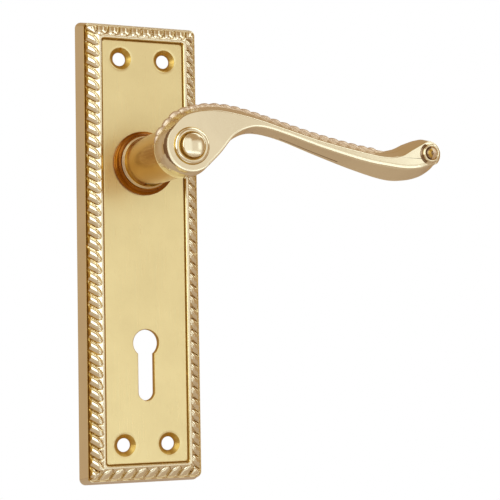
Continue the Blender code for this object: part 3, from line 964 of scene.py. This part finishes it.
def build_lever(face, neck, shadow, rough_shade, recess_shade):
    """The lever in three pieces: the casting, its beads, and the neck with its journal."""
    grip = piece("lever_casting", *merged(lever_shell(), boss((0, 0)),
                                          tip_point(TIP_CENTRE)), face, 26)
    for material in (shadow, rough_shade, recess_shade):
        grip.data.materials.append(material)
    for polygon in grip.data.polygons:
        polygon.material_index = lever_slot(polygon.center / MM)
        if polygon.normal.y < -0.9999:
            polygon.use_smooth = False
    beads = piece("lever_beads", *bead_rope(), rough_shade, 60)
    stem = piece("lever_neck", *neck_shell(), neck)
    stem.data.materials.append(rough_shade)
    hole = prism([(-4.3, -4.3), (4.3, -4.3), (4.3, 4.3), (-4.3, 4.3)], -33.6, 4)
    flats = [prism([(x0, -9), (x1, -9), (x1, 9), (x0, 9)], -1.7, 4)
             for x0, x1 in ((6.3, 9), (-9, -6.3))]
    shaft_vertices, shaft_faces = turned([(0, 3), (2.5, 3), (2.5, 12), (0, 12)], 40)
    grub = ([(x, z - 16.0, -y) for x, y, z in shaft_vertices], shaft_faces)
    cut(stem, merged(hole, *flats))
    cut(stem, grub)
    # The neck's flare takes the darker rough brass as painted shade.
    for polygon in stem.data.polygons:
        flare = FLARE_Y + 0.02 < polygon.center.y / MM < FLARE_Y + 1.31
        polygon.material_index = 1 if flare else 0
    for obj in (grip, beads, stem):
        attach(obj, "lever")
        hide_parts("lever_handle")


# ---------------------------------------------------------------- return spring

def spring_route():
    """The wire's path: a leg from the plate's pin, 1.75 turns, and a leg to the lever's tab."""
    front, back = -3.95, -2.05
    end = math.radians(SPRING_END_ANGLE)
    start = end + SPRING_TURNS * math.tau
    bend_r = SPRING_COIL_R + SPRING_BEND

    def leg(angle, y):
        """Points inwards from the end of a leg to its bend."""
        points = []
        for k in range(12):
            r = SPRING_LEG_R - (SPRING_LEG_R - bend_r) * k / 11
            points.append(Vector((r * math.cos(angle), y, r * math.sin(angle))))
        return points

    turns = []
    count = 150
    for k in range(count + 1):
        t = k / count
        a = start + (end - start) * t
        from_end = min(t, 1 - t) * count
        r = SPRING_COIL_R + SPRING_BEND * max(0.0, 1 - from_end / 6) ** 2
        turns.append(Vector((r * math.cos(a), front + (back - front) * t, r * math.sin(a))))
    return leg(start, front)[:-1] + turns + leg(end, back)[::-1][1:]


def tube_along(path, radius, sides=14):
    """A round wire along a path, with its ends drawn in a little."""
    rings = []
    for k, here in enumerate(path):
        run = (path[min(k + 1, len(path) - 1)] - path[max(k - 1, 0)]).normalized()
        side = run.cross(Vector((0, 1, 0))).normalized()
        up = side.cross(run)
        r = radius * (0.55 if k in (0, len(path) - 1) else 1.0)
        ring = []
        for i in range(sides):
            a = math.tau * i / sides
            ring.append(tuple(here + side * r * math.cos(a) + up * r * math.sin(a)))
        rings.append(ring)
    return skin(rings)


def build_spring(material):
    """The return spring, built in place; it is attached to neither body."""
    spring = piece("spring_wire", *tube_along(spring_route(), SPRING_WIRE_R), material, 50)
    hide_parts("return_spring")
    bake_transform(spring)


# ---------------------------------------------------------------- stage

def add_camera():
    """The camera, set by its turn and height about the object, its roll and its lens."""
    azimuth, elevation, roll = (math.radians(a) for a in (-23.57, -3.93, -1.05))
    back = Vector((math.sin(azimuth) * math.cos(elevation),
                   -math.cos(azimuth) * math.cos(elevation), math.sin(elevation)))
    right = (-back).cross(Vector((0, 0, 1))).normalized()
    up = right.cross(-back)
    tilted_right = math.cos(roll) * right + math.sin(roll) * up
    tilted_up = -math.sin(roll) * right + math.cos(roll) * up
    place = Matrix((tilted_right, tilted_up, back)).transposed().to_4x4()
    place.translation = (Vector(CAMERA_TARGET) + back * CAMERA_DISTANCE) * MM
    data = bpy.data.cameras.new("camera")
    data.sensor_width = 36
    data.lens = 106.85
    data.clip_start = 0.01
    camera = bpy.data.objects.new("camera", data)
    bpy.context.scene.collection.objects.link(camera)
    camera.matrix_world = place
    bpy.context.scene.camera = camera


def area_light(name, azimuth, elevation, distance, width, height, radiance):
    """A soft box that looks at the object from an angle; azimuth 0 is straight in front.

    Its distance and size are in metres.
    """
    a, e = math.radians(azimuth), math.radians(elevation)
    away = Vector((math.sin(a) * math.cos(e), -math.cos(a) * math.cos(e), math.sin(e)))
    data = bpy.data.lights.new(name, "AREA")
    data.shape = "RECTANGLE"
    data.size = width
    data.size_y = height
    data.energy = radiance * math.pi * width * height
    data.color = LIGHT_COLOUR
    light = bpy.data.objects.new(name, data)
    light.visible_camera = False
    bpy.context.scene.collection.objects.link(light)
    light.location = Vector(LIGHT_TARGET) + away * distance
    light.rotation_euler = away.to_track_quat("Z", "Y").to_euler()


def add_lights():
    """Soft boxes: azimuth, elevation, distance, width, height and radiance."""
    boxes = (
        ("key_front_right", 27, 0, 1.1, 0.66, 0.84, 0.48),
        ("white_low", 12, -27, 1.1, 1.12, 0.66, 0.95),
        ("white_front", -4, -1, 1.12, 0.58, 1.20, 0.75),
        ("tip_white", 36, 6, 1.1, 0.20, 0.36, 0.55),
        ("left_high", -54, 21, 1.2, 1.05, 1.15, 1.9),
        ("behind_left", -130, 4, 1.2, 0.80, 1.40, 0.08),
        ("over_left", -62, 66, 1.2, 0.80, 0.60, 0.40),
        ("over_front", 54, 52, 1.2, 0.60, 0.95, 1.4),
        ("right_high", 78, 26, 1.1, 0.45, 0.46, 1.3),
        ("strip_right", 80, -4, 1.1, 0.10, 0.9, 1.2),
        ("low_front", -22, -54, 0.2, 0.16, 0.07, 0.65),
    )
    for box in boxes:
        area_light(*box)


def add_world():
    """A warm studio that the camera sees as white."""
    world = bpy.data.worlds.new("studio")
    bpy.context.scene.world = world
    world.use_nodes = True
    nodes = world.node_tree.nodes
    links = world.node_tree.links
    nodes.clear()
    out = nodes.new("ShaderNodeOutputWorld")
    mix = nodes.new("ShaderNodeMixShader")
    path = nodes.new("ShaderNodeLightPath")
    room = nodes.new("ShaderNodeBackground")
    seen = nodes.new("ShaderNodeBackground")
    room.inputs["Color"].default_value = ROOM_COLOUR
    room.inputs["Strength"].default_value = 1.0
    seen.inputs["Color"].default_value = (1, 1, 1, 1)
    seen.inputs["Strength"].default_value = 1.0
    links.new(path.outputs["Is Camera Ray"], mix.inputs["Fac"])
    links.new(room.outputs["Background"], mix.inputs[1])
    links.new(seen.outputs["Background"], mix.inputs[2])
    links.new(mix.outputs["Shader"], out.inputs["Surface"])


def add_floor():
    """A plain pale floor under the object."""
    material, shader, place = new_material("floor_pale")
    tone = mixed(material, noise(material, place, 0.01, 3.0), (0.72, 0.64, 0.57, 1),
                 (0.68, 0.60, 0.53, 1))
    feed(material, shader.inputs["Base Color"], tone)
    feed(material, shader.inputs["Roughness"], 0.8)
    outline = arc((30, 0), FLOOR_R, 0, 355, 71)
    rings = [[(x, y, z) for x, y in outline] for z in (FLOOR_TOP_Z - 2, FLOOR_TOP_Z)]
    floor = piece("floor", *skin(rings), material)


def paint_nodes(materials):
    """Every CAD node gets the material of its slot in the record."""
    for part in frame["record"]["subparts"]:
        node = frame["nodes"][part["node"]]
        material = materials[part["material_slot"]]
        for slot in node.material_slots:
            slot.material = material


def main():
    """Stage, materials and pieces."""
    bpy.context.scene.view_settings.view_transform = "Standard"
    add_camera()
    add_world()
    add_lights()
    polished = polished_brass()
    satin = satin_brass()
    spring = steel("spring_steel_oiled", (0.22, 0.22, 0.23), 0.32, (0.30, 0.28, 0.27))
    zinc = steel("zinc_plate", (0.62, 0.63, 0.66), 0.28, (0.48, 0.50, 0.54))
    recess_shade = recess_shade_brass()
    build_plate(satin, polished, recess_shade)
    build_collar(collar_shade_brass())
    build_lever(polished, neck_reflection_brass(), shadow_brass(), bead_shade_brass(), recess_shade)
    build_spring(spring)
    paint_nodes({"satin_brass": satin, "polished_brass": polished, "plated_steel": zinc,
                 "spring_steel": spring, "nylon": nylon()})
    add_floor()


main()
